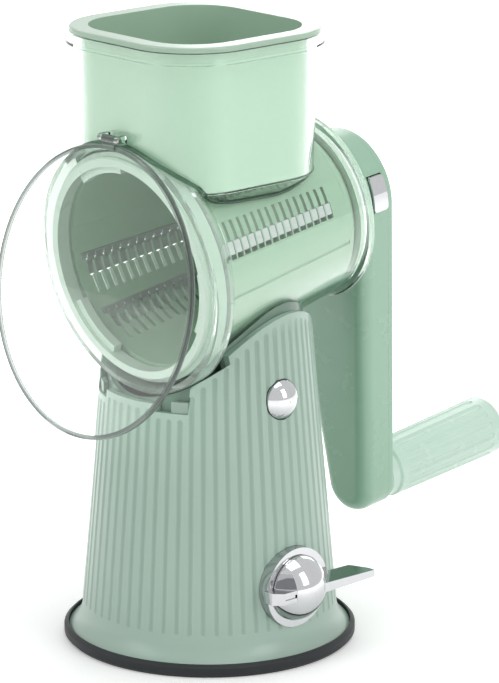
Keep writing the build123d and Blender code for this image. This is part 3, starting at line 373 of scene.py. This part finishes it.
def steel_finish(name, tone, rough, along):
    """Brushed steel with its grain drawn out along one axis."""
    finish = Finish(name)
    stretched = finish.node("ShaderNodeMapping", {}, {"Vector": finish.place, "Scale": along})
    grain = finish.noise(STEEL_GRAIN, 4.0, 0.6, stretched)
    finish.set(
        Base_Color=finish.mix(grain, tone, shaded(tone, 0.75)),
        Metallic=1.0,
        Roughness=(grain * 0.25 + rough).clamp(),
        Normal=finish.bump(grain, 0.2, 0.00005),
    )
    return finish.material


def rubber_finish():
    """Dark soft rubber with a matt bloom and fine pits."""
    finish = Finish("foot_rubber")
    bloom = finish.noise(RUBBER_BLOOM, 5.0, 0.6)
    pits = finish.noise(RUBBER_PITS, 3.0, 0.6)
    finish.set(
        Base_Color=finish.mix(bloom, colour(26, 29, 31), colour(46, 50, 52)),
        Roughness=(bloom * 0.25 + 0.40).clamp(),
        Normal=finish.bump(pits, 0.3, 0.0001),
    )
    finish.set(Specular_IOR_Level=0.35)
    return finish.material


def build_finishes(tones):
    """Every finish by the name of its material slot."""
    def plastic(name, tone, rough):
        return moulded(name, tuple(tone), rough).material

    return {
        "foot_rubber": rubber_finish(),
        "mint_column": column_finish(tuple(tones.column), tuple(tones.painted_groove_shade)),
        "mint_pusher": plastic("mint_pusher", tones.pusher, 0.26),
        "mint_drum": plastic("mint_drum", tones.drum, 0.30),
        "mint_light": plastic("mint_light", tones.ring, 0.28),
        "mint_arm": plastic("mint_arm", tones.arm, 0.27),
        "mint_grip": plastic("mint_grip", tones.grip, 0.27),
        "clear_plastic": housing_finish(),
        "clear_skirt": skirt_finish(),
        "clear_guard": guard_finish(),
        "chrome": chrome_finish(),
        "blade_steel": steel_finish("blade_steel", tuple(tones.blade), 0.24, (1.0, 0.05, 1.0)),
        "steel": steel_finish("steel", tuple(tones.steel), 0.28, (0.05, 1.0, 1.0)),
        "white_plastic": plastic("white_plastic", tones.white, 0.4),
        "key_plastic": plastic("key_plastic", tones.key, 0.4),
        "dark_plastic": plastic("dark_plastic", tones.dark, 0.45),
    }


# ------------------------------------------------------------------ stage
def point_at(thing, place, target):
    """Stands a lamp or the camera at a place, looking at a target."""
    thing.location = place
    thing.rotation_euler = (Vector(target) - Vector(place)).to_track_quat("-Z", "Y").to_euler()


def soft_lamp(name, place, size, power):
    """Hangs a wide lamp that looks at the middle of the object."""
    data = bpy.data.lights.new(name, "AREA")
    data.shape = "RECTANGLE"
    data.size, data.size_y = size
    data.energy = power
    lamp = bpy.data.objects.new(name, data)
    bpy.context.scene.collection.objects.link(lamp)
    point_at(lamp, place, LAMP_TARGET)


def background_seen(board):
    """1 where the eye, a reflection or clear plastic looks at the background."""
    path = board.make("ShaderNodeLightPath", {}, {})
    camera, gloss, clear = [
        Wire(board, path.outputs[f"Is {kind} Ray"]) for kind in ("Camera", "Glossy", "Transmission")]
    return camera.either(gloss).either(clear)


def studio_world():
    """White where it is seen, also in metal and clear plastic, and plain grey light elsewhere."""
    world = bpy.data.worlds.new("studio")
    world.use_nodes = True
    bpy.context.scene.world = world
    board = Board(world.node_tree)
    back = world.node_tree.nodes["Background"]
    seen = background_seen(board)
    board.feed(back.inputs["Color"], board.mix(seen, ROOM_GREY, WHITE))
    back.inputs["Strength"].default_value = 1.0


def floor_finish():
    """Pale floor that keeps the shadow under the foot and goes white further out."""
    finish = Finish("stage_white")
    x, y, z = finish.split(finish.place)
    far = (((x * x + y * y) ** 0.5 - SHADOW_R) * 5.0).clamp()
    glow = background_seen(finish) * (far * 0.75 + 0.25)
    marks = finish.noise(FLOOR_MARKS) * 0.1
    finish.set(
        Base_Color=finish.mix(marks, colour(246, 247, 246), colour(240, 242, 240)),
        Roughness=0.6,
        Emission_Color=finish.mix(glow, BLACK, WHITE),
    )
    finish.shader.inputs["Emission Strength"].default_value = 1.0
    return finish.material


# ------------------------------------------------------------------ settings
class ShredderStage(bpy.types.PropertyGroup):
    camera_place: bpy.props.FloatVectorProperty(
        name="Camera place", description="Where the camera stands", subtype="TRANSLATION", unit="LENGTH",
        default=(1.2602, -1.1347, 0.5934))
    camera_target: bpy.props.FloatVectorProperty(
        name="Camera target", description="What the camera looks at", subtype="TRANSLATION", unit="LENGTH",
        default=(0.0094, 0.0156, 0.1325))
    camera_lens: bpy.props.FloatProperty(
        name="Lens", description="Focal length in millimetres on a 36 mm sensor", default=210.8, min=20.0)
    lamp_level: bpy.props.FloatProperty(
        name="Lamp level", description="Scales every lamp", default=1.0, min=0.0)


def tone_setting(name, description, tone):
    """A colour that a user can change."""
    return bpy.props.FloatVectorProperty(
        name=name, description=description, subtype="COLOR", size=4, min=0.0, max=1.0, default=tone)


class ShredderColours(bpy.types.PropertyGroup):
    column: tone_setting("Column", "Ridges and flare of the column", colour(172, 197, 183))
    # Painted shade laid into the bottoms of the column's grooves
    painted_groove_shade: tone_setting("Grooves", "Bottoms of the column's grooves", colour(132, 160, 145))
    pusher: tone_setting("Pusher", "Moulded pusher", colour(177, 204, 183))
    drum: tone_setting("Drum", "Panels and cap of the drum", colour(156, 186, 162))
    ring: tone_setting("Ring", "Ring of the drum's mouth and the rear cover", colour(200, 219, 205))
    arm: tone_setting("Arm", "Both halves of the crank arm", colour(162, 200, 176))
    grip: tone_setting("Grip", "Collar, sleeve and cap of the grip", colour(210, 236, 221))
    key: tone_setting("Keys", "Grey-green keys of the skirt", colour(150, 172, 158))
    white: tone_setting("White plastic", "Pull rod, bush and drum hub", colour(214, 218, 215))
    dark: tone_setting("Dark plastic", "Plate, bracket and guide in the column", colour(60, 64, 68))
    blade: tone_setting("Blades", "Brushed steel of the drum's teeth", colour(214, 216, 218))
    steel: tone_setting("Steel", "Turned steel of shafts, pins and screws", colour(190, 192, 194))


class ShredderEdges(bpy.types.PropertyGroup):
    junction_r: bpy.props.FloatProperty(
        name="Junction radius", description="Radius of the fillet where the hopper meets the barrel",
        default=0.0012, unit="LENGTH", min=0.0002)


# ------------------------------------------------------------------ shapes
def shell_r(along):
    """Outer radius of the barrel, its fairing and the rim of the mouth."""
    barrel = BARREL_R - BARREL_CONE * along
    share = min(max((FAIRING_BACK - along) / (FAIRING_BACK - RIM_BACK), 0.0), 1.0)
    return barrel + (RIM_R - barrel) * share * share * (3 - 2 * share)


def hopper_reach(angle, half):
    """Distance from the hopper's middle to its rounded square outline in one direction."""
    way = (abs(math.cos(angle)), abs(math.sin(angle)))
    near, far = 0.0, 2.0 * half
    straight = half - HOPPER_CORNER
    for _ in range(HALVINGS):
        middle = (near + far) / 2
        over = [way[k] * middle - straight for k in (0, 1)]
        gap = math.hypot(max(over[0], 0.0), max(over[1], 0.0)) + min(max(over), 0.0) - HOPPER_CORNER
        near, far = (near, middle) if gap > 0 else (middle, far)
    return near


def hopper_half(z):
    """Half the hopper's outside width, which turns inwards at 45 degrees below its waist."""
    straight = HOPPER_HALF - (HOPPER_TOP - max(z, HOPPER_WAIST)) * math.tan(HOPPER_DRAFT)
    return straight - max(HOPPER_WAIST - z, 0.0)


def junction_point(angle):
    """Where the hopper's wall meets the barrel's outside in one direction from its middle."""
    low, high = HOPPER_WAIST - TUCK_DEEP, HOPPER_TOP
    for _ in range(HALVINGS):
        z = (low + high) / 2
        reach = hopper_reach(angle, hopper_half(z))
        x, y = reach * math.cos(angle), HOPPER_Y + reach * math.sin(angle)
        along = y * math.cos(AXIS_TILT) + (z - AXIS_Z) * math.sin(AXIS_TILT)
        up = (z - AXIS_Z) * math.cos(AXIS_TILT) - y * math.sin(AXIS_TILT)
        low, high = (z, high) if math.hypot(x, up) < shell_r(along) else (low, z)
    return Vector((x, y, z))


def fix_in_place(piece, body, finish):
    """Makes a piece a smooth mesh at the origin that moves with its body."""
    bpy.ops.object.select_all(action="DESELECT")
    piece.select_set(True)
    bpy.context.view_layer.objects.active = piece
    bpy.ops.object.convert(target="MESH")
    piece = bpy.context.object
    bpy.ops.object.transform_apply(location=True, rotation=True, scale=True)
    bpy.ops.object.shade_smooth()
    piece.data.materials.clear()
    piece.data.materials.append(finish)
    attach(piece, body)


# ------------------------------------------------------------------ operators
class SHREDDER_OT_stage(bpy.types.Operator):
    """Lay the floor, hang the lamps and set the camera"""
    bl_idname = "shredder.stage"
    bl_label = "Stage"

    def execute(self, context):
        setting = context.scene.shredder_stage
        context.scene.view_settings.view_transform = "Standard"
        studio_world()
        bpy.ops.mesh.primitive_plane_add(size=FLOOR_SIZE, location=(0, 0, 0))
        floor = context.object
        floor.name = "floor"
        floor.data.materials.append(floor_finish())
        for name, place, size, power in LAMPS:
            soft_lamp(name, place, size, power * setting.lamp_level)
        data = bpy.data.cameras.new("camera")
        data.sensor_width = SENSOR_WIDTH
        data.lens = setting.camera_lens
        camera = bpy.data.objects.new("camera", data)
        context.scene.collection.objects.link(camera)
        point_at(camera, setting.camera_place, setting.camera_target)
        context.scene.camera = camera
        return {"FINISHED"}


class SHREDDER_OT_frame_finishes(bpy.types.Operator):
    """Give every carried-over piece its finish"""
    bl_idname = "shredder.frame_finishes"
    bl_label = "Frame finishes"

    def execute(self, context):
        finishes = build_finishes(context.scene.shredder_colours)
        for row in frame["record"]["subparts"]:
            piece = NODES[row["node"]]
            finish_name = OWN_FINISH.get(row["node"], row["material_slot"])
            piece.data.materials.clear()
            piece.data.materials.append(finishes[finish_name])
        return {"FINISHED"}


class SHREDDER_OT_junction(bpy.types.Operator):
    """Run the thick green-edged fillet round the foot of the hopper"""
    bl_idname = "shredder.junction"
    bl_label = "Hopper junction"

    def execute(self, context):
        setting = context.scene.shredder_edges
        bpy.ops.object.select_all(action="DESELECT")
        bpy.ops.curve.primitive_nurbs_circle_add(radius=HOPPER_HALF, location=(0, 0, 0))
        ring = context.object
        ring.name = "hopper_junction"
        bpy.ops.object.mode_set(mode="EDIT")
        bpy.ops.curve.select_all(action="SELECT")
        bpy.ops.curve.subdivide(number_cuts=8)
        bpy.ops.object.mode_set(mode="OBJECT")
        points = ring.data.splines[0].points
        for number, point in enumerate(points):
            point.co = (*junction_point(2 * math.pi * number / len(points)), 1.0)
        ring.data.splines[0].resolution_u = 4
        ring.data.bevel_depth = setting.junction_r
        ring.data.bevel_resolution = 3
        fix_in_place(ring, "base", edge_finish())
        return {"FINISHED"}


class SHREDDER_PT_panel(bpy.types.Panel):
    """Lists the steps of the model"""
    bl_label = "Shredder"
    bl_space_type = "VIEW_3D"
    bl_region_type = "UI"
    bl_category = "Shredder"

    def draw(self, context):
        for operator in OPERATORS:
            self.layout.operator(operator.bl_idname)


OPERATORS = [SHREDDER_OT_stage, SHREDDER_OT_frame_finishes, SHREDDER_OT_junction]
GROUPS = {
    "shredder_stage": ShredderStage,
    "shredder_colours": ShredderColours,
    "shredder_edges": ShredderEdges,
}
CLASSES = [*GROUPS.values(), *OPERATORS, SHREDDER_PT_panel]


def register():
    for item in CLASSES:
        bpy.utils.register_class(item)
    for name, group in GROUPS.items():
        setattr(bpy.types.Scene, name, bpy.props.PointerProperty(type=group))


def unregister():
    for name in reversed(GROUPS):
        delattr(bpy.types.Scene, name)
    for item in reversed(CLASSES):
        bpy.utils.unregister_class(item)


def main():
    register()
    for operator in OPERATORS:
        group, name = operator.bl_idname.split(".")
        getattr(getattr(bpy.ops, group), name)()


if __name__ == "__main__":
    main()
